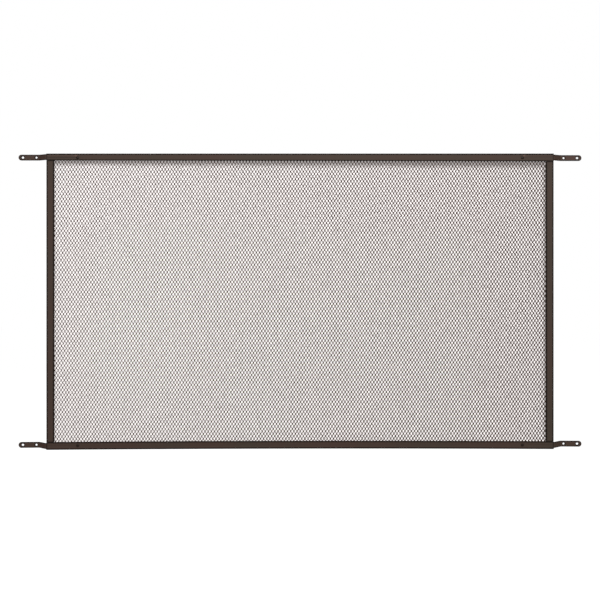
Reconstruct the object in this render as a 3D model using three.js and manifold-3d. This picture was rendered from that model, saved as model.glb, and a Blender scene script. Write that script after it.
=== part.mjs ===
// A framed guard screen of expanded metal with four screw ears, as fixed across a hearth opening or the
// lower part of a screen door. Millimetres, +Z up, +X to the right, front towards -Y.
// The origin lies on the plane that the ears screw to, midway between the four of them.
// Four roll-formed channels hold the edges of the sheet. A stamped bracket sits in each corner: one arm in
// the horizontal rail, one leg in the side rail, and an ear that steps back to the plane y = 0.

import * as THREE from "three";
import { mergeVertices } from "three/addons/utils/BufferGeometryUtils.js";
import Module from "manifold-3d";

const wasm = await Module();
wasm.setup();

// ---- Driving dimensions ----------------------------------------------------------------------------

const frameWidth = 784; // outside of the channel frame, 30 7/8 in
const frameHeight = 457.5; // 18 in
const standOff = 7.7; // from the plane of the ears to the back of the rails
const fitGap = 0.3; // between pieces that lie against each other

const railFace = 11.5; // width of a rail seen from the front
const channelWall = 0.8;
const channelBend = 1.2; // outside radius of the channel's two bends

const sheetThickness = 0.6;
const sheetRoom = 0.9; // depth that the twisted strands take up inside a channel
const sheetEdgeInset = 2; // from the frame's outer edge to the edge of the sheet
const openingsAcross = 27; // large diamonds, each for a block of the real 4.9 x 7.6 mm ones
const openingsUp = 10;
const openShare = 0.68; // share of the sheet that is open, as in the real one

const bracketThickness = 1.6;
const bracketWidth = 9;
const legLength = 46; // inside the side rail, from the frame's top or bottom
const bracketCorner = 1.5; // rounding of the arm's and the leg's ends
const bracketFillet = 2.5; // inside corner between arm and leg

const jogStart = 1; // from the frame's side to where the ear starts to step back
const jogRun = 12.5; // sideways length of the step
const jogBend = 2.4; // centreline radius of the step's two bends
const earReach = 46.2; // from the frame's side to the ear's tip
const innerHoleAt = 18.4; // from the frame's side
const outerHoleAt = 39.5;
const screwHole = 3.2; // diameter, 1/8 in
const outerHoleLength = 4; // the outer hole is a short slot

const rivetFromSide = 48.5; // along the horizontal rail, from the frame's side
const rivetLine = 6.4; // inwards from the frame's outer edge
const armPastRivet = 4.5; // so the arm always reaches past its rivet
const rivetShank = 2.8; // diameter
const rivetHead = 4.6;
const rivetHeadHeight = 0.7;
const rivetTail = 4.2;
const rivetTailHeight = 0.6;
const rivetSeat = 0.1; // between a head and the flange under it

const bendSteps = 4;
const roundSteps = 16;

// ---- Depths, counted from the plane of the ears towards the front -----------------------------------

const channelInside = bracketThickness + sheetRoom + 3 * fitGap;
const channelDepth = channelInside + 2 * channelWall;
const railBack = -standOff;
const railFront = railBack - channelDepth;
const sheetMiddle = railBack - channelWall - fitGap - sheetRoom / 2;
const armMiddle = railFront + channelWall + fitGap + bracketThickness / 2;
const earMiddle = -bracketThickness / 2;

// Along a rail: the length of the bracket's arm, counted from the frame's side.
const armLength = rivetFromSide + armPastRivet;

// Across a rail, counted inwards from the frame's outer edge.
const bracketEdge = channelWall + fitGap;
const bracketLine = bracketEdge + bracketWidth / 2;

// Where a side rail starts, counted from the frame's top or bottom: clear of the horizontal rail, and of the
// ear where that is wider than the rail's face leaves room for.
const sideFrom = Math.max(railFace, bracketEdge + bracketWidth) + fitGap;

// ---- Solids ----------------------------------------------------------------------------------------

/** A closed three.js geometry as a solid that can be cut and joined. */
function solid(geometry) {
  const bare = geometry.clone();
  bare.deleteAttribute("normal");
  bare.deleteAttribute("uv");
  const merged = mergeVertices(bare, 1e-4);
  return new wasm.Manifold(
    new wasm.Mesh({
      numProp: 3,
      vertProperties: merged.attributes.position.array,
      triVerts: new Uint32Array(merged.index.array),
    }),
  );
}

/** A solid back as a three.js geometry. */
function geometryOf(body) {
  const mesh = body.getMesh();
  const geometry = new THREE.BufferGeometry();
  geometry.setAttribute("position", new THREE.BufferAttribute(mesh.vertProperties, 3));
  geometry.setIndex(new THREE.BufferAttribute(mesh.triVerts, 1));
  geometry.computeVertexNormals();
  return geometry;
}

/** A shape drawn in X and Y, pushed along +Z by a length. */
function extrude(shape, length, curveSegments = bendSteps) {
  return new THREE.ExtrudeGeometry(shape, { depth: length, bevelEnabled: false, curveSegments });
}

/** A shape drawn as seen from the front, in X and Z, made a prism from y = near to y = far. */
function frontPrism(shape, near, far, curveSegments = roundSteps) {
  const geometry = extrude(shape, far - near, curveSegments);
  geometry.rotateX(Math.PI / 2); // drawn Y becomes Z, and the length runs towards -Y
  geometry.translate(0, far, 0);
  return geometry;
}

/** A round pin along Y, for cutting a hole. */
function pinAlongY(diameter, x, z, near, far) {
  const geometry = new THREE.CylinderGeometry(diameter / 2, diameter / 2, far - near, roundSteps);
  geometry.translate(x, (near + far) / 2, z);
  return geometry;
}

// ---- Materials -------------------------------------------------------------------------------------

const bronzePaint = { color: new THREE.Color().setRGB(0.3, 0.245, 0.22, THREE.SRGBColorSpace) };
const railPaint = new THREE.MeshStandardMaterial({ ...bronzePaint, roughness: 0.5, metalness: 0.3 });
const meshPaint = new THREE.MeshStandardMaterial({ ...bronzePaint, roughness: 0.6, metalness: 0.3 });
const bracketPaint = new THREE.MeshStandardMaterial({ ...bronzePaint, roughness: 0.45, metalness: 0.4 });
const rivetPaint = new THREE.MeshStandardMaterial({ ...bronzePaint, roughness: 0.4, metalness: 0.5 });

// ---- Rails -----------------------------------------------------------------------------------------

/** The channel's section: X is the distance inwards from the frame's edge, Y the depth from the front. */
function channelSection() {
  const inner = channelBend - channelWall;
  const near = channelWall;
  const far = channelDepth - channelWall;
  const section = new THREE.Shape();
  section.moveTo(railFace, 0);
  section.lineTo(railFace, near);
  section.lineTo(channelBend, near);
  section.absarc(channelBend, channelBend, inner, -Math.PI / 2, Math.PI, true);
  section.lineTo(channelWall, channelDepth - channelBend);
  section.absarc(channelBend, channelDepth - channelBend, inner, Math.PI, Math.PI / 2, true);
  section.lineTo(railFace, far);
  section.lineTo(railFace, channelDepth);
  section.lineTo(channelBend, channelDepth);
  section.absarc(channelBend, channelDepth - channelBend, channelBend, Math.PI / 2, Math.PI, false);
  section.lineTo(0, channelBend);
  section.absarc(channelBend, channelBend, channelBend, Math.PI, -Math.PI / 2, false);
  return section;
}

/** A rail as the top one lies: its web up at z = 0, its front at y = 0, its length along X. */
function railGeometry(length, rivetPlaces) {
  const bar = extrude(channelSection(), length);
  bar.rotateY(Math.PI / 2); // the length turns to X, and the section's X to -Z
  bar.translate(-length / 2, 0, 0);
  let body = solid(bar);
  for (const x of rivetPlaces) {
    const hole = pinAlongY(rivetShank + 2 * fitGap, x, -rivetLine, -1, channelDepth + 1);
    body = body.subtract(solid(hole));
  }
  return geometryOf(body);
}

/** Puts a rail on one side of the frame: it is turned about Y, and its web ends up on the outside. */
function rail(name, turn, reach, length, rivetPlaces = []) {
  const mesh = new THREE.Mesh(railGeometry(length, rivetPlaces), railPaint);
  mesh.name = name;
  mesh.position.z = reach;
  const side = new THREE.Group();
  side.position.y = railFront;
  side.rotation.y = turn;
  side.add(mesh);
  return side;
}

// ---- Expanded sheet --------------------------------------------------------------------------------

/** A diamond in X and Z round its own centre. */
function diamond(x, z, halfWide, halfTall) {
  const shape = new THREE.Shape();
  shape.moveTo(x + halfWide, z);
  shape.lineTo(x, z + halfTall);
  shape.lineTo(x - halfWide, z);
  shape.lineTo(x, z - halfTall);
  return shape;
}

/** A plate square to Y, round the middle of the frame. */
function plate(wide, tall, thick) {
  const geometry = new THREE.BoxGeometry(wide, thick, tall);
  geometry.translate(0, sheetMiddle, 0);
  return geometry;
}

function expandedSheet() {
  // Two sets of diamonds, one set in the spaces of the other, over what the rails leave in view.
  const areaWide = frameWidth - 2 * railFace;
  const areaTall = frameHeight - 2 * railFace;
  const pitchX = areaWide / openingsAcross;
  const pitchZ = areaTall / openingsUp;
  const halfWide = (pitchX / 2) * Math.sqrt(openShare);
  const halfTall = (pitchZ / 2) * Math.sqrt(openShare);
  const diamonds = [];
  for (let row = 0; row <= 2 * openingsUp; row++) {
    for (let column = row % 2; column <= 2 * openingsAcross; column += 2) {
      const x = (column * pitchX) / 2 - areaWide / 2;
      const z = (row * pitchZ) / 2 - areaTall / 2;
      diamonds.push(diamond(x, z, halfWide, halfTall));
    }
  }
  const cutNear = sheetMiddle - sheetThickness;
  const cutFar = sheetMiddle + sheetThickness;
  const inView = solid(plate(areaWide, areaTall, 4 * sheetThickness));
  const openings = solid(frontPrism(diamonds, cutNear, cutFar)).intersect(inView);
  const wide = frameWidth - 2 * sheetEdgeInset;
  const tall = frameHeight - 2 * sheetEdgeInset;
  let body = solid(plate(wide, tall, sheetThickness)).subtract(openings);
  for (const { signs } of corners) {
    const x = signs[0] * (frameWidth / 2 - rivetFromSide);
    const z = signs[1] * (frameHeight / 2 - rivetLine);
    body = body.subtract(solid(pinAlongY(rivetShank + 4 * fitGap, x, z, cutNear, cutFar)));
  }
  const mesh = new THREE.Mesh(geometryOf(body), meshPaint);
  mesh.name = "expanded_sheet";
  return mesh;
}

// ---- Corner brackets -------------------------------------------------------------------------------

/** The edge of a bent strip: its centreline's points pushed aside, with an arc at each bend. */
function stripEdge(points, bend, aside) {
  const edge = [];
  const last = points.length - 1;
  points.forEach((point, i) => {
    const before = i > 0 ? point.clone().sub(points[i - 1]).normalize() : null;
    const after = i < last ? points[i + 1].clone().sub(point).normalize() : null;
    const along = before ?? after;
    const left = new THREE.Vector2(-along.y, along.x);
    if (!before || !after) {
      edge.push(point.clone().addScaledVector(left, aside));
      return;
    }
    const angle = Math.atan2(before.cross(after), before.dot(after));
    const side = Math.sign(angle);
    const tangent = bend * Math.tan(Math.abs(angle) / 2);
    const centre = point.clone().addScaledVector(before, -tangent).addScaledVector(left, side * bend);
    const radius = bend - side * aside;
    for (let step = 0; step <= bendSteps; step++) {
      const turned = left.clone().rotateAround(new THREE.Vector2(), (angle * step) / bendSteps);
      edge.push(centre.clone().addScaledVector(turned, -side * radius));
    }
  });
  return edge;
}

/** The bent sheet seen from above, tall enough for the leg, in the top right corner's own frame. */
function bentSheet() {
  const centreline = [
    new THREE.Vector2(-armLength - 1, armMiddle),
    new THREE.Vector2(jogStart, armMiddle),
    new THREE.Vector2(jogStart + jogRun, earMiddle),
    new THREE.Vector2(earReach + 1, earMiddle),
  ];
  const half = bracketThickness / 2;
  const outline = [
    ...stripEdge(centreline, jogBend, -half),
    ...stripEdge(centreline, jogBend, half).reverse(),
  ];
  const sheet = extrude(new THREE.Shape(outline), legLength + 2);
  sheet.translate(0, 0, -legLength - 1);
  return sheet;
}

/** The bracket's flat outline seen from the front, with (0, 0) at the frame's outer corner. */
function bracketBlank() {
  const top = -bracketEdge;
  const bottom = top - bracketWidth;
  const legOut = -bracketEdge;
  const legIn = legOut - bracketWidth;
  const tip = bracketWidth / 2;
  const r = bracketCorner;
  const f = bracketFillet;
  const blank = new THREE.Shape();
  blank.moveTo(-armLength + r, top);
  blank.absarc(-armLength + r, top - r, r, Math.PI / 2, Math.PI, false);
  blank.absarc(-armLength + r, bottom + r, r, Math.PI, -Math.PI / 2, false);
  blank.absarc(legIn - f, bottom - f, f, Math.PI / 2, 0, true);
  blank.absarc(legIn + r, -legLength + r, r, Math.PI, -Math.PI / 2, false);
  blank.absarc(legOut - r, -legLength + r, r, -Math.PI / 2, 0, false);
  blank.lineTo(legOut, bottom);
  blank.absarc(earReach - tip, bottom + tip, tip, -Math.PI / 2, Math.PI / 2, false);
  blank.closePath();

  const round = (x, z, diameter) => {
    const hole = new THREE.Path();
    hole.absarc(x, z, diameter / 2, 0, 2 * Math.PI, true);
    return hole;
  };
  const slot = new THREE.Path();
  const half = (outerHoleLength - screwHole) / 2;
  slot.absarc(outerHoleAt + half, -bracketLine, screwHole / 2, Math.PI / 2, -Math.PI / 2, true);
  slot.absarc(outerHoleAt - half, -bracketLine, screwHole / 2, -Math.PI / 2, -1.5 * Math.PI, true);
  blank.holes.push(round(-rivetFromSide, -rivetLine, rivetShank + 2 * fitGap));
  blank.holes.push(round(innerHoleAt, -bracketLine, screwHole), slot);
  return blank;
}

/** The blank's outline cut through the bent sheet. */
function bracketGeometry() {
  const blank = frontPrism(bracketBlank(), railFront - 1, 1, roundSteps / 2);
  return geometryOf(solid(bentSheet()).intersect(solid(blank)));
}

function bracket(name, signX, signZ) {
  const mesh = new THREE.Mesh(bracketGeometry(), bracketPaint);
  mesh.name = name;
  mesh.position.set((signX * frameWidth) / 2, 0, (signZ * frameHeight) / 2);
  mesh.scale.set(signX, 1, signZ);
  return mesh;
}

// ---- Rivets ----------------------------------------------------------------------------------------

/** A domed rivet along Y that clamps both flanges, the bracket's arm and the sheet. */
function rivet(name, x, z) {
  const front = railFront - rivetSeat;
  const back = railBack + rivetSeat;
  const profile = [new THREE.Vector2(0, back + rivetTailHeight)];
  profile.push(new THREE.Vector2(rivetTail / 2 - 0.4, back + rivetTailHeight));
  profile.push(new THREE.Vector2(rivetTail / 2, back + rivetTailHeight - 0.3));
  profile.push(new THREE.Vector2(rivetTail / 2, back));
  profile.push(new THREE.Vector2(rivetShank / 2, back));
  profile.push(new THREE.Vector2(rivetShank / 2, front));
  for (let step = 0; step <= bendSteps; step++) {
    const angle = (step * Math.PI) / 2 / bendSteps;
    const out = step === bendSteps ? 0 : (rivetHead / 2) * Math.cos(angle);
    profile.push(new THREE.Vector2(out, front - rivetHeadHeight * Math.sin(angle)));
  }
  const mesh = new THREE.Mesh(new THREE.LatheGeometry(profile.reverse(), roundSteps), rivetPaint);
  mesh.name = name;
  mesh.position.set(x, 0, z);
  return mesh;
}

// ---- The whole screen ------------------------------------------------------------------------------

const corners = [
  { place: "top_right", signs: [1, 1] },
  { place: "top_left", signs: [-1, 1] },
  { place: "bottom_right", signs: [1, -1] },
  { place: "bottom_left", signs: [-1, -1] },
];

const screen = new THREE.Group();
const rivetX = frameWidth / 2 - rivetFromSide;
const sideLength = frameHeight - 2 * sideFrom;
screen.add(rail("top_rail", 0, frameHeight / 2, frameWidth, [-rivetX, rivetX]));
screen.add(rail("bottom_rail", Math.PI, frameHeight / 2, frameWidth, [-rivetX, rivetX]));
screen.add(rail("right_rail", Math.PI / 2, frameWidth / 2, sideLength));
screen.add(rail("left_rail", -Math.PI / 2, frameWidth / 2, sideLength));
screen.add(expandedSheet());
for (const { place, signs } of corners) {
  const [signX, signZ] = signs;
  screen.add(bracket(`${place}_bracket`, signX, signZ));
  screen.add(rivet(`${place}_rivet`, signX * rivetX, signZ * (frameHeight / 2 - rivetLine)));
}

export default screen;
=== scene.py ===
# %% [markdown]
# # A mesh guard screen
# This screen is a flat guard: a rectangle of expanded metal, held on its four sides by slim channels of
# dark bronze metal, with a strap that steps back out of each corner and takes two screws. It hangs on a
# door or in front of a hearth by those four straps.
#
# The solid model already gives every place and size. The lesson is about looks: rolled edges, a real
# expanded mesh with its twisted strands, countersunk holes, riveted corners, and a bronze finish with life
# in it.

# %% Load the solid model
import math

import bpy
import numpy as np
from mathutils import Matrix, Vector
from mathutils.geometry import delaunay_2d_cdt


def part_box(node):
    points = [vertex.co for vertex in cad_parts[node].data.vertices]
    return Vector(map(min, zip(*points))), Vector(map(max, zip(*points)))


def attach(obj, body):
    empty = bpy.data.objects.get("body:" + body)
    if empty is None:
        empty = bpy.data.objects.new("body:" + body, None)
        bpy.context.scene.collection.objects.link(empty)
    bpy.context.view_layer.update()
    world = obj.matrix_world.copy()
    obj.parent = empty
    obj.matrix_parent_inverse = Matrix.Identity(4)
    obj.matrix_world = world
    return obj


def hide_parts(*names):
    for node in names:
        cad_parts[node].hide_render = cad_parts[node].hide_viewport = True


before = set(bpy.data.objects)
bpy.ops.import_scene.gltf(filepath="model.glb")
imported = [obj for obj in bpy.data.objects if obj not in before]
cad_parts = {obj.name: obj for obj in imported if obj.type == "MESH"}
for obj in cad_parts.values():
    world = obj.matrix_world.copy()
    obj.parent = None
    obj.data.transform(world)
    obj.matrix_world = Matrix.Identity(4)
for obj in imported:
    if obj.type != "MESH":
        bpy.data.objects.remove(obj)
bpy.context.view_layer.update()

# %% [markdown]
# ## Sizes to work from
# The rails' outer edges give the frame's width and height, and their front and back give its depth. Reading
# them from the solid nodes keeps the looks and the solids together. Lengths are in metres, so a millimetre
# is 0.001.

# %% Read the frame's sizes
MM = 0.001
rail_low, rail_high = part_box("top_rail")
side_low, side_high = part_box("right_rail")
frame_width = rail_high.x - rail_low.x
frame_height = 2 * rail_high.z
rail_face = rail_high.z - rail_low.z
rail_front, rail_back = rail_low.y, rail_high.y
rail_depth = rail_back - rail_front
side_length = side_high.z - side_low.z
half_width, half_height = frame_width / 2, frame_height / 2
print(f"frame {frame_width / MM:.1f} x {frame_height / MM:.1f} mm, rail {rail_face / MM:.1f} mm wide")

# %% [markdown]
# ## From arrays to a mesh
# Each piece below is worked out with numpy as an array of points and an array of faces. One helper turns
# them into a Blender object. It also measures the signed volume: the sum over the triangles of a . (b x c)
# / 6. If that is negative the faces point inwards, so the helper turns them round. A second number for each
# point, the edge shade, is 1 on a bend, a lip or a cut edge and 0 on a flat face. The finish paints shade
# with it on those edges, where faces turn away from the light and where gaps between parts lie in shade.

# %% A helper that makes a piece
def signed_volume(points, quads):
    """Sum of a . (b x c) / 6 over both triangles of each four-cornered face."""
    a, b, c, d = (points[quads[:, k]] for k in range(4))
    first = np.einsum("ij,ij->i", a, np.cross(b, c)).sum()
    second = np.einsum("ij,ij->i", a, np.cross(c, d)).sum()
    return (first + second) / 6


def make_piece(name, points, quads, edge_shade, node_names, smooth_angle=40):
    """Builds a mesh from points (n, 3) and faces (m, 4); a triangle repeats its last corner."""
    points = np.asarray(points, float)
    quads = np.asarray(quads, int)
    if signed_volume(points, quads) < 0:
        quads = quads[:, ::-1]
    is_triangle = (quads[:, 2] == quads[:, 3]) | (quads[:, 0] == quads[:, 1])
    corners = quads.copy()
    # A turned-round triangle starts with its repeated corner, so it is rolled to keep that corner last.
    rolled = quads[:, 0] == quads[:, 1]
    corners[rolled] = np.roll(quads[rolled], -1, axis=1)
    keep = np.ones(corners.shape, bool)
    keep[is_triangle, 3] = False
    sizes = keep.sum(axis=1)
    mesh = bpy.data.meshes.new(name)
    mesh.vertices.add(len(points))
    mesh.vertices.foreach_set("co", points.astype(np.float32).ravel())
    mesh.loops.add(int(sizes.sum()))
    mesh.loops.foreach_set("vertex_index", corners[keep].astype(np.int32))
    mesh.polygons.add(len(corners))
    mesh.polygons.foreach_set("loop_start", np.concatenate([[0], np.cumsum(sizes)[:-1]]).astype(np.int32))
    mesh.update(calc_edges=True)
    mesh.validate()
    mesh.polygons.foreach_set("use_smooth", np.ones(len(mesh.polygons), bool))
    mesh.set_sharp_from_angle(angle=math.radians(smooth_angle))
    layer = mesh.attributes.new("edge_shade", "FLOAT", "POINT")
    layer.data.foreach_set("value", np.asarray(edge_shade, np.float32))
    piece = bpy.data.objects.new(name, mesh)
    bpy.context.scene.collection.objects.link(piece)
    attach(piece, "root")
    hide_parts(*node_names)
    return piece


# %% [markdown]
# ## The rail's section
# A rail is sheet metal 0.8 mm thick, rolled into a channel. Its section is therefore a line with two bends
# in it, drawn with a pen as thick as the sheet. The line is sampled with its normal at each point. The
# outside is the line moved half a thickness one way and the inside is the line moved as far the other way,
# and half circles round off the two lips. The samples are close together on the bends and on the front
# face, where a crimp will be pressed in. The painted shade value is high on the bends and the lips and
# falls off smoothly between them: it paints shade on the bends that turn away from the light and in the
# gap behind each lip.

# %% Draw the rail's section
WALL = 0.8 * MM
BEND = 0.8 * MM  # radius of the sheet's middle at a bend
BEND_SHADE_REACH = 2.2 * MM  # how far the painted shade of a bend, and that of a lip, reaches on to the face
LIP_SHADE_REACH = 1.4 * MM
LIP_SHADE = 0.85  # the painted shade value on a lip; on a bend it is 1


def straight(start, end, count):
    """Points from start to end, without the last one, with their common normal: the direction turned left."""
    share = np.linspace(0, 1, count, endpoint=False)[:, None]
    line = np.asarray(start) * (1 - share) + np.asarray(end) * share
    along = (np.asarray(end) - start) / np.linalg.norm(np.asarray(end) - start)
    return line, np.tile([-along[1], along[0]], (count, 1))


def bend(centre, radius, from_deg, to_deg, count):
    """Points on an arc about a centre, without the last one, with the normal left of the way round."""
    angle = np.radians(np.linspace(from_deg, to_deg, count, endpoint=False))
    out = np.stack([np.cos(angle), np.sin(angle)], axis=1)
    side = -1 if to_deg > from_deg else 1
    return np.asarray(centre) + radius * out, side * out


def rail_section():
    """The outline as (inwards, depth) pairs, the index pairs across the sheet, and the painted shade value."""
    near, far = WALL / 2, rail_depth - WALL / 2
    inner = WALL / 2 + BEND
    parts = [
        straight((rail_face - WALL / 2, near), (inner, near), 18),
        bend((inner, inner), BEND, -90, -180, 7),
        straight((WALL / 2, inner), (WALL / 2, rail_depth - inner), 4),
        bend((inner, rail_depth - inner), BEND, 180, 90, 7),
        straight((inner, far), (rail_face - WALL / 2, far), 6),
        (np.array([[rail_face - WALL / 2, far]]), np.array([[0.0, 1.0]])),
    ]
    line = np.concatenate([p for p, _ in parts])
    normal = np.concatenate([n for _, n in parts])
    one, other = line + normal * WALL / 2, line - normal * WALL / 2
    tip = np.radians(np.linspace(0, 180, 8)[1:-1])[:, None]

    def lip(end, start_normal, along):
        turn = np.cos(tip) * start_normal + np.sin(tip) * along
        return end + WALL / 2 * turn

    back_lip = lip(line[-1], normal[-1], np.array([1.0, 0.0]))
    front_lip = lip(line[0], -normal[0], np.array([1.0, 0.0]))
    outline = np.concatenate([one, back_lip, other[::-1], front_lip])
    count = len(line)
    across = np.stack([np.arange(count), count + len(tip) + count - 1 - np.arange(count)], axis=1)
    bend_shade = np.exp(-((outline[:, 0] / BEND_SHADE_REACH) ** 8))
    lip_shade = LIP_SHADE * np.exp(-(((rail_face - outline[:, 0]) / LIP_SHADE_REACH) ** 4))
    return outline, across, bend_shade + lip_shade


section, section_across, section_shade = rail_section()
print("rail section:", len(section), "points")

# %% [markdown]
# ## A frame that is a little out of true
# The lower rail is bowed upwards by a millimetre and runs up to the right. Written as a formula, the shift
# upwards is s * (bow * (1 - u^2) + tilt * u), where u is the place across as a share of half the width, and
# s goes from 0 at the top of the frame to 1 at the bottom. Rails, straps and rivets all get the same shift,
# so they stay fitted to each other.

# %% Set how far the frame is out of true
LOWER_BOW = 1.3 * MM
LOWER_TILT = 0.67 * MM


def out_of_true(points):
    """Points shifted upwards by s * (bow * (1 - u^2) + tilt * u)."""
    u = points[..., 0] / half_width
    s = np.clip((half_height - points[..., 2]) / frame_height, 0, 1)
    shifted = points.copy()
    shifted[..., 2] += s * (LOWER_BOW * (1 - u**2) + LOWER_TILT * u)
    return shifted


lower_edge = np.array([[u * half_width, 0, -half_height] for u in (-1, 0, 1)])
raised = (out_of_true(lower_edge) - lower_edge)[:, 2] / MM
print("lower edge raised on the left, middle and right, mm:", np.round(raised, 2))

# %% [markdown]
# ## Carrying the section along
# The section is carried along the rail: a grid with one parameter round the section and one along the
# length. Near each corner the front face is crimped on to the strap inside, which leaves a shallow crease
# down its middle and a dent round the rivet. Both are smooth functions of the place on the rail, so they
# are added to the grid as a whole. The stations lie close together where the crimp is and further apart
# along the plain middle.
#
# The top rail's face isn't equally wide all along: its free lip hangs lower towards the right. So the
# section can be stretched inwards by an amount that grows along the rail.

# %% Lay out the grid and press in the crimps
RIVET_FROM_SIDE = 48.5 * MM
RIVET_LINE = 6.4 * MM  # inwards from the frame's outer edge, as the crease's line is
CREASE_LINE = 5.6 * MM
CREASE_DEPTH, CREASE_WIDE = 0.16 * MM, 0.8 * MM
CREASE_STOP, CREASE_FADE = 8 * MM, 1.5 * MM  # how far short of the rivet it ends, and how gently
DENT_DEPTH, DENT_REACH = 0.12 * MM, 3.2 * MM
FINE_ZONE, FINE_STEP, PLAIN_STEP = 62 * MM, 1.2 * MM, 6 * MM
TOP_LIP = (-0.4 * MM, 0.8 * MM)  # how far the top rail's lip is off, in the middle, and more to the right


def stations(length):
    """Places along a rail: close together in the zone at each end, and further apart in the middle."""
    fine = np.arange(0, FINE_ZONE, FINE_STEP)
    plain = np.linspace(FINE_ZONE, length - FINE_ZONE, int((length - 2 * FINE_ZONE) / PLAIN_STEP) + 2)
    return np.concatenate([fine, plain, (length - fine)[::-1]]) - length / 2


def crimp(along, inwards, depth, length):
    """How far the front face is pressed in: a crease that fades out at the rivet, plus a round dent there."""
    from_end = length / 2 - np.abs(along)
    on_front = depth < rail_depth / 2
    fade = 1 / (1 + np.exp((from_end - RIVET_FROM_SIDE + CREASE_STOP) / CREASE_FADE))
    crease = CREASE_DEPTH * fade * np.exp(-(((inwards - CREASE_LINE) / CREASE_WIDE) ** 2))
    reach = np.hypot(from_end - RIVET_FROM_SIDE, inwards - RIVET_LINE)
    dent = DENT_DEPTH * np.exp(-((reach / DENT_REACH) ** 4))
    return (crease + dent) * on_front


def rail_grid(length, crimped, lip):
    """The section at every station: arrays of place along the rail, place inwards, and depth.

    The section is stretched inwards by lip[0] + lip[1] * u, where u runs from -1 to 1 along the rail.
    """
    along = stations(length)[:, None] + 0 * section[None, :, 0]
    wider = lip[0] + lip[1] * along / (length / 2)
    inwards = section[None, :, 0] * (1 + wider / rail_face)
    depth = section[None, :, 1] + 0 * along
    if crimped:
        depth = depth + crimp(along, inwards, depth, length)
    return along, inwards, depth


print("stations:", len(stations(frame_width)), "on a horizontal rail,", len(stations(side_length)), "on a side")

# %% [markdown]
# ## Painted highlight and shade at the crimps
# Near the crimps on the top rail, light and dark are painted into the coat: a light line beside the crease
# and a light spot next to each rivet are painted highlights, and the dark in the crease is painted shade.
# Each of these is a number from 0 to 1 at every point of the rail. The light ones are kept as the highlight
# number, the dark one joins the edge shade number, and the finish turns both into colour later on.

# %% Work out where highlight and shade are painted at the crimps
LEFT_MARK_STRENGTH, RIGHT_MARK_STRENGTH = 1.0, 0.5  # the painted highlight and shade are stronger at the left end than at the right one
MARK_FADE = 1.0 * MM  # how gently line and crease end at the rivet
LIGHT_LINE_OUT, LIGHT_LINE_WIDE, LIGHT_LINE_SHARE = 1.7 * MM, 0.8 * MM, 0.5  # outwards from the crease
GROOVE_WIDE, GROOVE_SHARE = 0.7 * MM, 0.5
SPOT_PAST, SPOT_LINE, SPOT_REACH = 2.6 * MM, 3.3 * MM, 1.7 * MM  # past the rivet, and from the outer edge


def painted_crimp_marks(along, inwards, length):
    """Where a highlight is painted, and where shade is painted.

    A light line and a dark groove, each a normal curve across, and a round spot with a soft rim.
    """
    from_end = length / 2 - np.abs(along)
    fade = 1 + np.exp((from_end - RIVET_FROM_SIDE) / MARK_FADE)
    mark_strength = np.where(along < 0, LEFT_MARK_STRENGTH, RIGHT_MARK_STRENGTH) / fade
    line = mark_strength * np.exp(-(((inwards - CREASE_LINE + LIGHT_LINE_OUT) / LIGHT_LINE_WIDE) ** 2))
    groove = mark_strength * np.exp(-(((inwards - CREASE_LINE) / GROOVE_WIDE) ** 2))
    reach = np.hypot(from_end - RIVET_FROM_SIDE + SPOT_PAST, inwards - SPOT_LINE)
    spot = np.exp(-((reach / SPOT_REACH) ** 4))
    return np.maximum(LIGHT_LINE_SHARE * line, spot), GROOVE_SHARE * groove


# %% [markdown]
# ## Closing the rails
# Faces join each row of the grid to the next, and a cap closes each end. The same grid stands for all four
# rails. Only the last step differs: a small function says where along, inwards and depth point on this
# rail.

# %% Make the four rails
END_SHADE_REACH = 1.2 * MM  # how far the painted shade of a cut end reaches


def tube_faces(rows, columns):
    """The faces between each row of a grid and the next, where each row is a closed ring."""
    row, column = np.meshgrid(np.arange(rows - 1), np.arange(columns), indexing="ij")
    here, there = row * columns + column, row * columns + (column + 1) % columns
    return np.stack([here, there, there + columns, here + columns], axis=-1).reshape(-1, 4)


def section_cap():
    """The faces that close one end: across the sheet from side to side, and a fan in each lip."""
    a, b = section_across[:-1], section_across[1:]
    strip = np.stack([a[:, 0], b[:, 0], b[:, 1], a[:, 1]], axis=1)
    back = np.arange(section_across[-1, 0], section_across[-1, 1] + 1)
    front = np.concatenate([np.arange(section_across[0, 1], len(section)), [0]])
    fans = [np.stack([np.full(len(f) - 2, f[0]), f[1:-1], f[2:], f[2:]], axis=1) for f in (back, front)]
    return np.concatenate([strip[:, ::-1], *fans])


def make_rail(name, length, place, crimped=False, highlighted=False, lip=(0, 0)):
    """A closed rail: the grid, with a cap on each end, put in its place by a function."""
    along, inwards, depth = rail_grid(length, crimped, lip)
    rows, columns = along.shape
    points = out_of_true(place(along, inwards, depth)).reshape(-1, 3)
    cap = section_cap()
    quads = np.concatenate([tube_faces(rows, columns), cap[:, ::-1], cap + (rows - 1) * columns])
    # The cut ends are painted dark: painted shade standing in for the shade in the joints between rails.
    end_shade = np.exp(-(((length / 2 - np.abs(along)) / END_SHADE_REACH) ** 2))
    edge_shade = np.maximum(section_shade[None, :], end_shade)
    # On the top rail the crimps get a painted highlight, and their crease a painted shade.
    light, dark = painted_crimp_marks(along, inwards, length) if highlighted else (0 * along, 0 * along)
    piece = make_piece(name + "_rolled", points, quads, np.maximum(edge_shade, dark).ravel(), [name], 35)
    layer = piece.data.attributes.new("painted_highlight", "FLOAT", "POINT")
    layer.data.foreach_set("value", light.ravel().astype(np.float32))
    print(piece.name, len(piece.data.polygons), "faces")
    return piece


def horizontal(sign):
    """Lays a rail along the top (sign 1) or the bottom (sign -1)."""

    def place(along, inwards, depth):
        return np.stack([along, rail_front + depth, sign * (half_height - inwards)], axis=-1)

    return place


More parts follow.
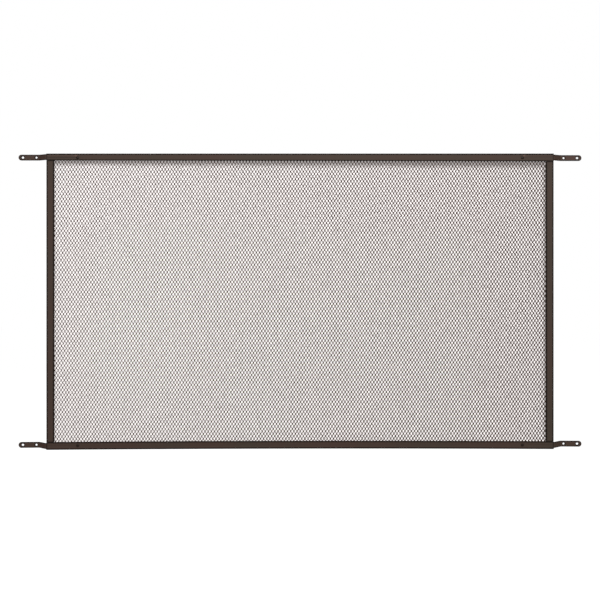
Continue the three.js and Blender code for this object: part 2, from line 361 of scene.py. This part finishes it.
def upright(sign):
    """Stands a rail up; its top follows the top rail's lip, which is higher on the left than on the right."""
    up = -(TOP_LIP[0] + TOP_LIP[1] * sign)

    def place(along, inwards, depth):
        risen = along + up * (0.5 + along / side_length)
        return np.stack([sign * (half_width - inwards), rail_front + depth, risen], axis=-1)

    return place


rails = [
    make_rail("top_rail", frame_width, horizontal(1), crimped=True, highlighted=True, lip=TOP_LIP),
    make_rail("bottom_rail", frame_width, horizontal(-1), crimped=True),
    make_rail("right_rail", side_length, upright(1)),
    make_rail("left_rail", side_length, upright(-1)),
]

# %% [markdown]
# ## The expanded mesh
# Expanded metal starts as a sheet with rows of short slits. Pulled sideways, the slits open into diamonds.
# What was the metal between two columns of slits becomes a zigzag ribbon, and where two ribbons were never
# parted they stay joined in a short upright bond. Pulling also twists the ribbons, so all of them lean the
# same way, and the mesh looks denser from one side than from the other.
#
# So the mesh is a few hundred zigzag ribbons. Each has a rectangular section, which leans by the twist, and
# its middle swings to the right and to the left by the same amount. At the end of a swing it lies edge to
# edge with its neighbour. It also swings in depth, because the two halves of a leaning bond lie at
# different depths.

# %% Work out the zigzag
PITCH_ACROSS = 4.9156 * MM  # from diamond to diamond
PITCH_UP = 7.5865 * MM
STRAND_WIDTH = 1.16 * MM
STRAND_THICKNESS = 0.3 * MM
TWIST = math.radians(36)
BOND = 1.9 * MM  # length of the joined part
BOND_OVERLAP = 0.01 * MM  # so that the two ribbons of a bond meet without a gap
SLOPE_SWING = 0.46  # swing of the two places on a slope, as a share of a bond's
SLOPE_WIDTH = 1.16  # a ribbon is a little wider there
MESH_MIDDLE = rail_back - 1.55 * MM
MESH_SHIFT = (0.32 * MM, 0.0)  # of a bond from the middle of the frame
MESH_LEAN = 0.0119  # sideways for each length upwards: the sheet was clamped a little askew
MESH_RISE = 0.0017  # upwards for each length to the right
MESH_EDGE_ACROSS = half_width - 5 * MM  # the mesh's own edges lie inside the channels
MESH_EDGE_UP = half_height - 8.2 * MM
PANELS = 7

swing = PITCH_ACROSS / 4 - STRAND_WIDTH * math.cos(TWIST) / 2 + BOND_OVERLAP
swing_back = STRAND_WIDTH * math.sin(TWIST) / 2
open_run = PITCH_UP / 2 - BOND
half_turn = np.array([0, BOND, BOND + 0.3 * open_run, BOND + 0.7 * open_run])
half_swing = np.array([1, 1, SLOPE_SWING, -SLOPE_SWING])
half_width_share = np.array([1, 1, SLOPE_WIDTH, SLOPE_WIDTH])
print(f"ribbons swing {swing / MM:.2f} mm across and {swing_back / MM:.2f} mm in depth")

# %% [markdown]
# One period has eight places: the two ends of the right-hand bond, two on the slope, and the same again
# mirrored. They repeat up the whole height, and each second ribbon starts half a period later. All ribbons
# together are one array of shape (ribbons, places, 4 corners, 3).

# %% Make the mesh in seven panels
def ribbon_places():
    """Heights, swings and width shares of every place on a ribbon, over a bit more than the height."""
    periods = np.arange(-math.ceil(MESH_EDGE_UP / PITCH_UP) - 1, math.ceil(MESH_EDGE_UP / PITCH_UP) + 1)
    one = np.concatenate([half_turn, half_turn + PITCH_UP / 2]) - BOND / 2
    height = (periods[:, None] * PITCH_UP + one[None, :]).ravel()
    sway = np.tile(np.concatenate([half_swing, -half_swing]), len(periods))
    share = np.tile(np.concatenate([half_width_share, half_width_share]), len(periods))
    return height, sway, share


def ribbon_corners(numbers):
    """Corner points of the ribbons with these numbers, cut to the mesh's height."""
    height, sway, share = ribbon_places()
    late = (numbers % 2)[:, None] * PITCH_UP / 2
    z = height[None, :] + late + MESH_SHIFT[1]
    x = (numbers[:, None] - 0.5) * PITCH_ACROSS / 2 + MESH_SHIFT[0] + sway[None, :] * swing
    x, z = x + MESH_LEAN * z, z + MESH_RISE * x
    z = np.clip(z, -MESH_EDGE_UP, MESH_EDGE_UP)
    y = MESH_MIDDLE + sway[None, :] * swing_back + 0 * x
    middle = np.stack([x, y, z + 0 * x], axis=-1)[:, :, None, :]
    across = np.array([math.cos(TWIST), -math.sin(TWIST), 0]) * STRAND_WIDTH / 2
    through = np.array([-math.sin(TWIST), -math.cos(TWIST), 0]) * STRAND_THICKNESS / 2
    signs = np.array([[-1, -1], [1, -1], [1, 1], [-1, 1]])
    spread = signs[None, :, :1] * across * share[:, None, None] + signs[None, :, 1:] * through
    return middle + spread[None]


def make_panel(name, numbers):
    """Some of the ribbons as one piece: tubes of four sides with both ends closed."""
    corners = ribbon_corners(numbers)
    count, places = corners.shape[:2]
    one = tube_faces(places, 4)
    ends = np.array([[3, 2, 1, 0], [0, 1, 2, 3]])
    ends[1] += (places - 1) * 4
    one = np.concatenate([one, ends])
    quads = (one[None] + (np.arange(count) * places * 4)[:, None, None]).reshape(-1, 4)
    points = corners.reshape(-1, 3)
    return make_piece(name, points, quads, np.zeros(len(points)), ["expanded_sheet"], 50)


last_ribbon = int(MESH_EDGE_ACROSS / (PITCH_ACROSS / 2))
ribbon_numbers = np.arange(-last_ribbon, last_ribbon + 1)
panels = [
    make_panel(f"mesh_panel_{k + 1}", numbers)
    for k, numbers in enumerate(np.array_split(ribbon_numbers, PANELS))
]
print(len(ribbon_numbers), "ribbons,", sum(len(p.data.polygons) for p in panels), "faces")

# %% [markdown]
# ## The corner straps
# A strap is stamped from flat sheet and then bent. It can be made the same way. First comes the flat blank:
# an outline with rounded corners, and the loops of its two screw holes. Then an edge profile is carried
# round each loop: a small rounding on the outline, a countersink on the screw holes. The faces front and
# back are filled with triangles. Last, the blank is folded: each point keeps its place across, and its
# place along is laid on a line with two bends that steps back to the wall.

# %% Draw the strap's blank
STRAP = 1.6 * MM
STRAP_WIDTH = 9 * MM
STRAP_EDGE = 1.1 * MM  # from the frame's outer edge to the strap's edge
ARM = 53 * MM
LEG = 46 * MM
EAR = 46.2 * MM
HOLES = ((18.4 * MM, 0), (39.5 * MM, 0.8 * MM))  # place along, and how much longer than round
HOLE_RADIUS = 1.6 * MM
TIP_POINTS = 33  # on the half circle at the ear's tip
strap_line = STRAP_EDGE + STRAP_WIDTH / 2


def arc(x, z, radius, from_deg, to_deg, count=9):
    """Points on an arc in the blank's plane, both ends included."""
    angle = np.radians(np.linspace(from_deg, to_deg, count))
    return np.stack([x + radius * np.cos(angle), z + radius * np.sin(angle)], axis=1)


def blank_outline(bend_places):
    """The outline, anticlockwise, with (0, 0) at the frame's corner, x outwards and z up."""
    outer, inner = -STRAP_EDGE, -STRAP_EDGE - STRAP_WIDTH  # the two edges, the same across as upwards
    end, inside, notch, tip = 1.5 * MM, 2.5 * MM, 0.5 * MM, STRAP_WIDTH / 2  # radii of the corners
    there = np.stack([bend_places, np.full(len(bend_places), inner)], axis=1)
    back = np.stack([bend_places[::-1], np.full(len(bend_places), outer)], axis=1)
    return np.concatenate([
        arc(-ARM + end, outer - end, end, 90, 180),
        arc(-ARM + end, inner + end, end, 180, 270),
        arc(inner - inside, inner - inside, inside, 90, 0),
        arc(inner + end, -LEG + end, end, 180, 270),
        arc(outer - end, -LEG + end, end, 270, 360),
        arc(outer + notch, inner - notch, notch, 180, 90, 5),
        there,
        arc(EAR - tip, inner + tip, tip, -90, 90, TIP_POINTS),
        back,
    ])


def hole_outline(place, longer, count=40):
    """A round or slightly long hole, clockwise, so that its left-hand side is metal too."""
    angle = np.radians(np.linspace(360, 0, count, endpoint=False))
    stretch = np.sign(np.round(np.cos(angle), 6)) * longer / 2
    x = place + HOLE_RADIUS * np.cos(angle) + stretch
    return np.stack([x, -strap_line + HOLE_RADIUS * np.sin(angle)], axis=1)


print(f"strap {STRAP_WIDTH / MM:.0f} mm wide, holes {(HOLES[1][0] - HOLES[0][0]) / MM:.1f} mm apart")

# %% [markdown]
# The fold is a line of five parts: flat arm, bend, slope, bend, flat ear. Between the bends it climbs the
# step. The height of the middle of the sheet and its slope are both functions of the place along, so
# folding is two look-ups for each point: the sheet's middle there, and which way it faces.

# %% Work out the fold
ARM_MIDDLE = rail_front + 1.9 * MM
EAR_MIDDLE = -STRAP / 2
STEP_START, STEP_RUN = 1 * MM, 12.5 * MM
STEP_BEND = 2.4 * MM
step_slope = math.atan2(EAR_MIDDLE - ARM_MIDDLE, STEP_RUN)
bend_reach = STEP_BEND * math.tan(step_slope / 2)


def fold_line():
    """Places along, depths and slopes of the sheet's middle, dense in the bends."""
    turn = np.linspace(0, step_slope, 9)
    first_x = STEP_START - bend_reach + STEP_BEND * np.sin(turn)
    first_y = ARM_MIDDLE + STEP_BEND * (1 - np.cos(turn))
    last_x = STEP_START + STEP_RUN + bend_reach - STEP_BEND * np.sin(turn[::-1])
    last_y = EAR_MIDDLE - STEP_BEND * (1 - np.cos(turn[::-1]))
    x = np.concatenate([[-ARM - 1], first_x, last_x, [EAR + 1]])
    y = np.concatenate([[ARM_MIDDLE], first_y, last_y, [EAR_MIDDLE]])
    slope = np.concatenate([[0], turn, turn[::-1], [0]])
    return x, y, slope


fold_x, fold_y, fold_slope = fold_line()
print(f"the ear steps back {(EAR_MIDDLE - ARM_MIDDLE) / MM:.1f} mm at {math.degrees(step_slope):.0f} degrees")


def fold(flat, height):
    """Lays a point of the blank on the fold line and lifts it by its height along the front normal."""
    y = np.interp(flat[:, 0], fold_x, fold_y)
    slope = np.interp(flat[:, 0], fold_x, fold_slope)
    return np.stack([flat[:, 0] + height * np.sin(slope), y - height * np.cos(slope), flat[:, 1]], axis=1)


# %% [markdown]
# An edge profile is a list of steps, from the back face to the front one: how far in from the outline, how
# high, and the painted shade value there. Carried along the outline's normals it makes the rings of the wall.
# For the outline it is a quarter circle of 0.35 mm at both faces. For a screw hole the front is a countersink
# that is 1.25 mm wide. The first and the last ring lie on the flat faces with a painted shade value of 0, so
# the shade painted on the edge fades out before them.

# %% Carry the edge profiles and fill the faces
def rounded_edge(radius=0.35 * MM, dark=0.95 * MM, fade=1.35 * MM, count=5):
    """Rows of (inset, height, painted shade): flat face, quarter circle, quarter circle, flat face."""
    turn = np.radians(np.linspace(0, 90, count))
    inset, rise = radius * (1 - np.cos(turn)), STRAP / 2 - radius * (1 - np.sin(turn))
    wall = np.stack([inset, rise, np.ones(count)], axis=1)
    front = np.concatenate([wall, [[dark, STRAP / 2, 0.9], [fade, STRAP / 2, 0]]])
    return np.concatenate([front[::-1] * [1, -1, 1], front])


def countersink(wide=1.25 * MM, deep=0.8 * MM, fade=1.4 * MM, bevel=0.15 * MM, back_fade=0.6 * MM):
    """Rows of (inset, height, painted shade): flat back, bevel, bore, cone with a soft foot and rim, flat
    front.
    """
    face = STRAP / 2
    back = [[back_fade, -face, 0], [bevel, -face, 1], [0, -face + bevel, 1]]
    foot = [[0, face - deep, 1], [0.1 * MM, face - deep + 0.1 * MM, 1]]
    rim = [[wide - 0.12 * MM, face - 0.06 * MM, 1], [wide, face, 1], [fade, face, 0]]
    return np.array(back + foot + rim)


def left_normals(loop):
    """The unit vector to the left of the loop's way round, at each point, from its two neighbours."""
    along = np.roll(loop, -1, axis=0) - np.roll(loop, 1, axis=0)
    normal = np.stack([-along[:, 1], along[:, 0]], axis=1)
    return normal / np.linalg.norm(normal, axis=1, keepdims=True)


def wall_rings(loop, profile):
    """The wall's rings as flat points, one for each step of the profile, with heights and painted shade values.
    """
    flat = loop[None] + left_normals(loop)[None] * profile[:, 0, None, None]
    return flat, np.repeat(profile[:, 1], len(loop)), np.repeat(profile[:, 2], len(loop))


print(len(rounded_edge()), "rings round the strap's outline and", len(countersink()), "in each hole")

# %% [markdown]
# The two flat faces are filled between the outline and the holes. A triangulation that keeps the given
# edges fills everything it can reach, so triangles in a hole or in the hollow between arm and leg are
# dropped afterwards, by counting how often a ray from their middle crosses each loop. Links across the
# strap at each place of the fold keep the bends smooth.

# %% Fill the flat faces
def inside_loop(points, loop):
    """Whether each point is inside a loop: an upward ray crosses its edges an odd number of times."""
    a, b = loop[None], np.roll(loop, -1, axis=0)[None]
    x, z = points[:, None, 0], points[:, None, 1]
    spans = (a[..., 0] > x) != (b[..., 0] > x)
    run = np.where(spans, b[..., 0] - a[..., 0], 1)
    crossing = a[..., 1] + (x - a[..., 0]) * (b[..., 1] - a[..., 1]) / run
    return (spans & (crossing > z)).sum(axis=1) % 2 == 1


def cap_triangles(loops, links):
    """Triangles inside the first loop and outside the others, as indices into all the loops' points."""
    flat = np.concatenate(loops)
    starts = np.cumsum([0] + [len(loop) for loop in loops])
    edges = [(s + k, s + (k + 1) % n) for s, n in zip(starts, map(len, loops)) for k in range(n)]
    found = delaunay_2d_cdt([Vector(p) for p in flat / MM], edges + links, [], 0, 1e-5)
    source = np.array([ids[0] for ids in found[3]])
    triangles = source[np.array(found[2])]
    middle = flat[triangles].mean(axis=1)
    outline, *holes = loops
    kept = inside_loop(middle, outline)
    for hole in holes:
        kept &= ~inside_loop(middle, hole)
    return triangles[kept]


# %% Make the four straps
def strap_surface():
    """Points, faces and painted shade values of the folded strap for the top right corner."""
    bends = fold_x[1:-1]
    outline = blank_outline(bends)
    profiles = [rounded_edge(), countersink(), countersink()]
    loops = [outline] + [hole_outline(*hole) for hole in HOLES]
    first_low = len(outline) - 2 * len(bends) - TIP_POINTS
    low = first_low + np.arange(len(bends))
    high = len(outline) - 1 - np.arange(len(bends))
    links = [(int(a), int(b)) for a, b in zip(low, high)]
    points, quads, edge_shade, fronts, backs, offset = [], [], [], [], [], 0
    for loop, profile in zip(loops, profiles):
        flat, height, darkness = wall_rings(loop, profile)
        rings, count = flat.shape[:2]
        points.append(fold(flat.reshape(-1, 2), height))
        quads.append(tube_faces(rings, count) + offset)
        edge_shade.append(darkness)
        backs.append((flat[0], offset + np.arange(count)))
        fronts.append((flat[-1], offset + (rings - 1) * count + np.arange(count)))
        offset += rings * count
    for faces, turn in ((fronts, 1), (backs, -1)):
        triangles = cap_triangles([flat for flat, _ in faces], links)
        numbers = np.concatenate([ids for _, ids in faces])[triangles][:, ::turn]
        quads.append(np.concatenate([numbers, numbers[:, 2:]], axis=1))
    return np.concatenate(points), np.concatenate(quads), np.concatenate(edge_shade)


strap_points, strap_quads, strap_shade = strap_surface()
CORNERS = {"top_right": (1, 1), "top_left": (-1, 1), "bottom_right": (1, -1), "bottom_left": (-1, -1)}
# The channels are wider than the straps, so each strap was riveted a little further in or out than the next.
STRAP_OUTWARDS = {
    "top_right": -0.5 * MM,
    "top_left": 0.25 * MM,
    "bottom_right": -0.6 * MM,
    "bottom_left": -0.2 * MM,
}


def make_strap(corner, sign_x, sign_z):
    """The strap's surface moved to the frame's corner and mirrored where the corner asks for it."""
    at_corner = strap_points + [half_width, 0, half_height + STRAP_OUTWARDS[corner]]
    points = out_of_true(at_corner * [sign_x, 1, sign_z])
    name = f"{corner}_bracket"
    return make_piece(name + "_stamped", points, strap_quads, strap_shade, [name], 38)


straps = [make_strap(corner, *signs) for corner, signs in CORNERS.items()]
print("each strap:", len(strap_quads), "faces")

# %% [markdown]
# ## The rivets
# A rivet is a turned shape: a profile of radius and height spun about its axis. The head is a low dome with
# a small flat rim, and the tail is a rolled ring round a hollow. The profile starts and ends on the axis,
# so both poles close in a fan.

# %% Make the four rivets
HEAD, HEAD_HEIGHT, SHANK, TAIL = 2.3 * MM, 0.75 * MM, 1.4 * MM, 2.1 * MM  # radii, and the head's height
RIM_SHARE = 0.2  # of the head's height, under its dome


def rivet_profile():
    """Radius and depth from the top of the head to the end of the tail."""
    turn = np.radians(np.linspace(0, 90, 9))
    rise = HEAD_HEIGHT * (RIM_SHARE + (1 - RIM_SHARE) * np.cos(turn))
    dome = np.stack([HEAD * np.sin(turn), rail_front - rise], axis=1)
    seat, back = rail_front - 0.05 * MM, rail_back + 0.1 * MM
    shank = [[HEAD, seat], [SHANK, seat], [SHANK, back], [TAIL, back]]
    tail = [[TAIL, back + 0.35 * MM], [1.8 * MM, back + 0.6 * MM], [0.7 * MM, back + 0.6 * MM]]
    hollow = [[0.6 * MM, back + 0.35 * MM], [0, back + 0.35 * MM]]
    return np.concatenate([dome, shank, tail, hollow])


def make_rivet(corner, sign_x, sign_z, count=32):
    """The profile spun about the rivet's axis, with its first and last rows drawn to one point each."""
    profile = rivet_profile()
    turn = np.linspace(0, 2 * np.pi, count, endpoint=False)
    rows = profile[1:-1]
    x = rows[:, :1] * np.cos(turn) + sign_x * (half_width - RIVET_FROM_SIDE)
    z = rows[:, :1] * np.sin(turn) + sign_z * (half_height - RIVET_LINE)
    y = rows[:, 1:] + 0 * x
    ring = np.stack([x, y, z], axis=-1).reshape(-1, 3)
    poles = np.array([[x[0].mean(), profile[0, 1], z[0].mean()], [x[0].mean(), profile[-1, 1], z[0].mean()]])
    points = out_of_true(np.concatenate([ring, poles]))
    here = np.arange(count)
    there = (here + 1) % count
    start = (len(rows) - 1) * count
    near = np.stack([there, here, np.full(count, len(ring)), np.full(count, len(ring))], axis=1)
    far = np.stack([start + here, start + there, *[np.full(count, len(ring) + 1)] * 2], axis=1)
    quads = np.concatenate([tube_faces(len(rows), count), near, far])
    # The edge shade value grows towards the head's rim: shade painted round the rivet's head.
    edge_shade = np.concatenate([np.repeat((rows[:, 0] / rows[:, 0].max()) ** 4, count), [0, 0]])
    name = f"{corner}_rivet"
    return make_piece(name + "_domed", points, quads, edge_shade, [name], 40)


rivets = [make_rivet(corner, *signs) for corner, signs in CORNERS.items()]
print("each rivet:", len(rivets[0].data.polygons), "faces")

# %% [markdown]
# ## The bronze finish
# The metal has a dark bronze coat, half matt. It isn't one flat colour. A slow drift between a redder and a
# more olive brown comes from how the coat was laid on, and a fine grain from the metal under it. Where the
# edge shade value is high, on bends, lips, cut ends, the crimps' creases and the rivets' rims, a near black is
# mixed in, in a patchy way: painted shade. Where the highlight value is high, beside the crimps, a lighter
# brown is mixed in: a painted highlight. Each is a noise texture, the edge shade value or the highlight value,
# mixed into the base colour, the roughness and a very small bump. The noises read Object coordinates, so the
# finish sits still on the part. A piece without a highlight value counts as 0, which is no highlight.

# %% Make the bronze materials
METALLIC, SHEEN = 0.1, 0.09
BUMP, BUMP_HEIGHT = 0.12, 0.05 * MM
DRIFT_SCALE, PATCH_SCALE = 9, 160  # noise scales, per metre
GRAIN_LIGHTER, HIGHLIGHT_LIGHTER = 1.5, 2.2  # times the redder brown
# The near black that is painted on to edges as shade.
PAINTED_SHADE_COLOUR = (0.003, 0.002, 0.0015)


def bronze(name, red, olive, roughness, grain=900):
    """A grained coat that drifts between two browns, with shade painted on its edges and a highlight painted
    where the highlight number is high.
    """
    material = bpy.data.materials.new(name)
    material.use_nodes = True
    nodes, links = material.node_tree.nodes, material.node_tree.links
    shader = nodes["Principled BSDF"]
    shader.inputs["Metallic"].default_value = METALLIC
    shader.inputs["Specular IOR Level"].default_value = SHEEN
    place = nodes.new("ShaderNodeTexCoord").outputs["Object"]

    def noise(scale, detail):
        texture = nodes.new("ShaderNodeTexNoise")
        texture.inputs["Scale"].default_value = scale
        texture.inputs["Detail"].default_value = detail
        links.new(place, texture.inputs["Vector"])
        return texture.outputs["Fac"]

    def spread(value, low, high, to_low, to_high):
        ranged = nodes.new("ShaderNodeMapRange")
        for socket, number in zip(("From Min", "From Max", "To Min", "To Max"), (low, high, to_low, to_high)):
            ranged.inputs[socket].default_value = number
        links.new(value, ranged.inputs["Value"])
        return ranged.outputs["Result"]

    def mix_colours(share, first, second):
        mix = nodes.new("ShaderNodeMix")
        mix.data_type = "RGBA"
        links.new(share, mix.inputs["Factor"])
        for socket, colour in ((mix.inputs["A"], first), (mix.inputs["B"], second)):
            if isinstance(colour, tuple):
                socket.default_value = (*colour, 1)
            else:
                links.new(colour, socket)
        return mix.outputs["Result"]

    def times(first, second):
        product = nodes.new("ShaderNodeMath")
        product.operation = "MULTIPLY"
        links.new(first, product.inputs[0])
        links.new(second, product.inputs[1])
        return product.outputs["Value"]

    def number(attribute):
        node = nodes.new("ShaderNodeAttribute")
        node.attribute_name = attribute
        return node.outputs["Fac"]

    fine = noise(grain, 2)
    patchy = spread(noise(PATCH_SCALE, 3), 0.3, 0.6, 0.88, 1)
    body = mix_colours(spread(noise(DRIFT_SCALE, 3), 0.38, 0.62, 0, 1), red, olive)
    bright = tuple(GRAIN_LIGHTER * c for c in red)
    grained = mix_colours(spread(fine, 0.5, 0.8, 0, 0.5), body, bright)
    # A painted highlight is mixed in by the highlight number, then painted shade by the edge shade number.
    highlight_colour = tuple(HIGHLIGHT_LIGHTER * c for c in red)
    highlighted = mix_colours(times(number("painted_highlight"), patchy), grained, highlight_colour)
    coat = mix_colours(times(number("edge_shade"), patchy), highlighted, PAINTED_SHADE_COLOUR)
    links.new(coat, shader.inputs["Base Color"])
    links.new(spread(fine, 0.3, 0.7, roughness - 0.06, roughness + 0.08), shader.inputs["Roughness"])
    relief = nodes.new("ShaderNodeBump")
    relief.inputs["Strength"].default_value = BUMP
    relief.inputs["Distance"].default_value = BUMP_HEIGHT
    links.new(fine, relief.inputs["Height"])
    links.new(relief.outputs["Normal"], shader.inputs["Normal"])
    return material


rail_finish = bronze("rolled_bronze", (0.0450, 0.0275, 0.0215), (0.0390, 0.0290, 0.0220), 0.58)
mesh_finish = bronze("mesh_bronze", (0.058, 0.034, 0.027), (0.050, 0.033, 0.025), 0.58, grain=1500)
strap_finish = bronze("strap_bronze", (0.054, 0.030, 0.024), (0.046, 0.031, 0.023), 0.50)
rivet_finish = bronze("rivet_bronze", (0.018, 0.011, 0.009), (0.015, 0.011, 0.008), 0.36)
coated = ((rails, rail_finish), (panels, mesh_finish), (straps, strap_finish), (rivets, rivet_finish))
for pieces, finish in coated:
    for piece in pieces:
        piece.data.materials.append(finish)
    print(finish.name, "on", len(pieces), "pieces")

# %% [markdown]
# ## The paper and the floor
# The part hangs a little in front of a sheet of white paper, so the top rail throws a soft shade on the
# paper just below itself. The paper is nearly as large as the frame. It leans back at the top, a little
# more on the right, so the shade grows wider that way. It is clear from behind, so that the part can be
# looked at from there. A pale floor lies well below. The floor gives off most of its white by itself and is
# hidden from the light that bounces on to the part, so it stays white from every side and doesn't tint the
# metal.

# %% Set up the paper and the floor
def plain_white(name, colour, share, strength, one_sided):
    """A matt surface with a share of the light given back and some of its own; may be clear from behind."""
    material = bpy.data.materials.new(name)
    material.use_nodes = True
    nodes, links = material.node_tree.nodes, material.node_tree.links
    shader = nodes["Principled BSDF"]
    shader.inputs["Base Color"].default_value = (*(share * c for c in colour), 1)
    shader.inputs["Roughness"].default_value = 0.9
    shader.inputs["Emission Color"].default_value = (*colour, 1)
    shader.inputs["Emission Strength"].default_value = strength
    if one_sided:
        side = nodes.new("ShaderNodeNewGeometry").outputs["Backfacing"]
        clear, mix = nodes.new("ShaderNodeBsdfTransparent"), nodes.new("ShaderNodeMixShader")
        links.new(side, mix.inputs["Fac"])
        links.new(shader.outputs["BSDF"], mix.inputs[1])
        links.new(clear.outputs["BSDF"], mix.inputs[2])
        links.new(mix.outputs["Shader"], nodes["Material Output"].inputs["Surface"])
    return material


def flat_sheet(name, points, material):
    mesh = bpy.data.meshes.new(name)
    mesh.from_pydata([Vector(p) for p in points], [], [(0, 1, 2, 3)])
    mesh.materials.append(material)
    sheet = bpy.data.objects.new(name, mesh)
    bpy.context.scene.collection.objects.link(sheet)
    return sheet


PAPER_INSET = 3 * MM
PAPER_LEAN_LEFT, PAPER_LEAN_RIGHT = 1 * MM, 5 * MM  # how far its top corners lean back
FLOOR_DROP, FLOOR_REACH = 0.62, 6
paper_x, paper_z = half_width - PAPER_INSET, half_height - PAPER_INSET
paper_corners = [
    (-paper_x, 0, -paper_z),
    (paper_x, 0, -paper_z),
    (paper_x, PAPER_LEAN_RIGHT, paper_z),
    (-paper_x, PAPER_LEAN_LEFT, paper_z),
]
turns = ((-1, -1), (1, -1), (1, 1), (-1, 1))
floor_corners = [(x * FLOOR_REACH, y * FLOOR_REACH, -FLOOR_DROP) for x, y in turns]
paper = flat_sheet("paper", paper_corners, plain_white("paper_white", (1, 0.957, 0.948), 0.9, 0.32, True))
floor = flat_sheet("floor", floor_corners, plain_white("floor_white", (1, 1, 1), 0.04, 0.97, False))
floor.visible_diffuse = False
floor.visible_glossy = False
print(f"paper {2 * paper_x / MM:.0f} mm wide, floor {FLOOR_DROP:.2f} m below the part's middle")

# %% [markdown]
# ## The lights and the room
# One wide soft light stands in front of the part, above it, and throws the shade. A second one behind shows
# the back. The room itself is white: it looks white to the camera, and lights the part evenly at a quarter
# of that.

# %% Set up the lights and the room
ROOM_LIGHT = 0.25
LIGHT_TALL = 1.3


def soft_light(name, place, width, power):
    """An area light that looks at the part."""
    data = bpy.data.lights.new(name, "AREA")
    data.shape = "RECTANGLE"
    data.size = width
    data.size_y = LIGHT_TALL
    data.energy = power
    light = bpy.data.objects.new(name, data)
    light.location = place
    light.rotation_euler = Vector(place).to_track_quat("Z", "Y").to_euler()
    bpy.context.scene.collection.objects.link(light)
    print(name, f"{width} x {LIGHT_TALL} m, {power} W")


soft_light("key_light", (0.25, -3.0, 1.5), 1.4, 151)
soft_light("back_light", (-1.2, 2.8, 1.4), 2.2, 90)
scene = bpy.context.scene
world = bpy.data.worlds.new("white_room")
world.use_nodes = True
sky_nodes, sky_links = world.node_tree.nodes, world.node_tree.links
room = sky_nodes["Background"]
room.inputs["Color"].default_value = (1, 1, 1, 1)
room.inputs["Strength"].default_value = ROOM_LIGHT
seen = sky_nodes.new("ShaderNodeBackground")
seen.inputs["Strength"].default_value = 1.0
seen.inputs["Color"].default_value = (1, 1, 1, 1)
sky_mix = sky_nodes.new("ShaderNodeMixShader")
sky_links.new(sky_nodes.new("ShaderNodeLightPath").outputs["Is Camera Ray"], sky_mix.inputs["Fac"])
sky_links.new(room.outputs["Background"], sky_mix.inputs[1])
sky_links.new(seen.outputs["Background"], sky_mix.inputs[2])
sky_links.new(sky_mix.outputs["Shader"], sky_nodes["World Output"].inputs["Surface"])
scene.world = world
scene.view_settings.view_transform = "Standard"

# %% [markdown]
# ## The camera
# The camera stands straight in front, a metre and a half away and slightly above the middle, and looks
# level. Its shift moves the view down to the part without tilting it, so upright edges stay upright.

# %% Place the camera
CAMERA_AWAY = 1.45
VIEW_WIDTH = 0.9268  # what the camera takes in at the frame's face
CAMERA_UP = 0.093
LOOK_UP = 0.0024  # height of the view's middle
SENSOR = 36  # millimetres, as the lens is
camera_data = bpy.data.cameras.new("camera")
camera_data.sensor_width = SENSOR
camera_data.lens = SENSOR * CAMERA_AWAY / VIEW_WIDTH
camera_data.shift_y = (LOOK_UP - CAMERA_UP) / VIEW_WIDTH
camera = bpy.data.objects.new("camera", camera_data)
camera.location = (0, rail_front - CAMERA_AWAY, CAMERA_UP)
camera.rotation_euler = (math.radians(90), 0, 0)
scene.collection.objects.link(camera)
scene.camera = camera
print(f"lens {camera_data.lens:.1f} mm, shift {camera_data.shift_y:.3f}")
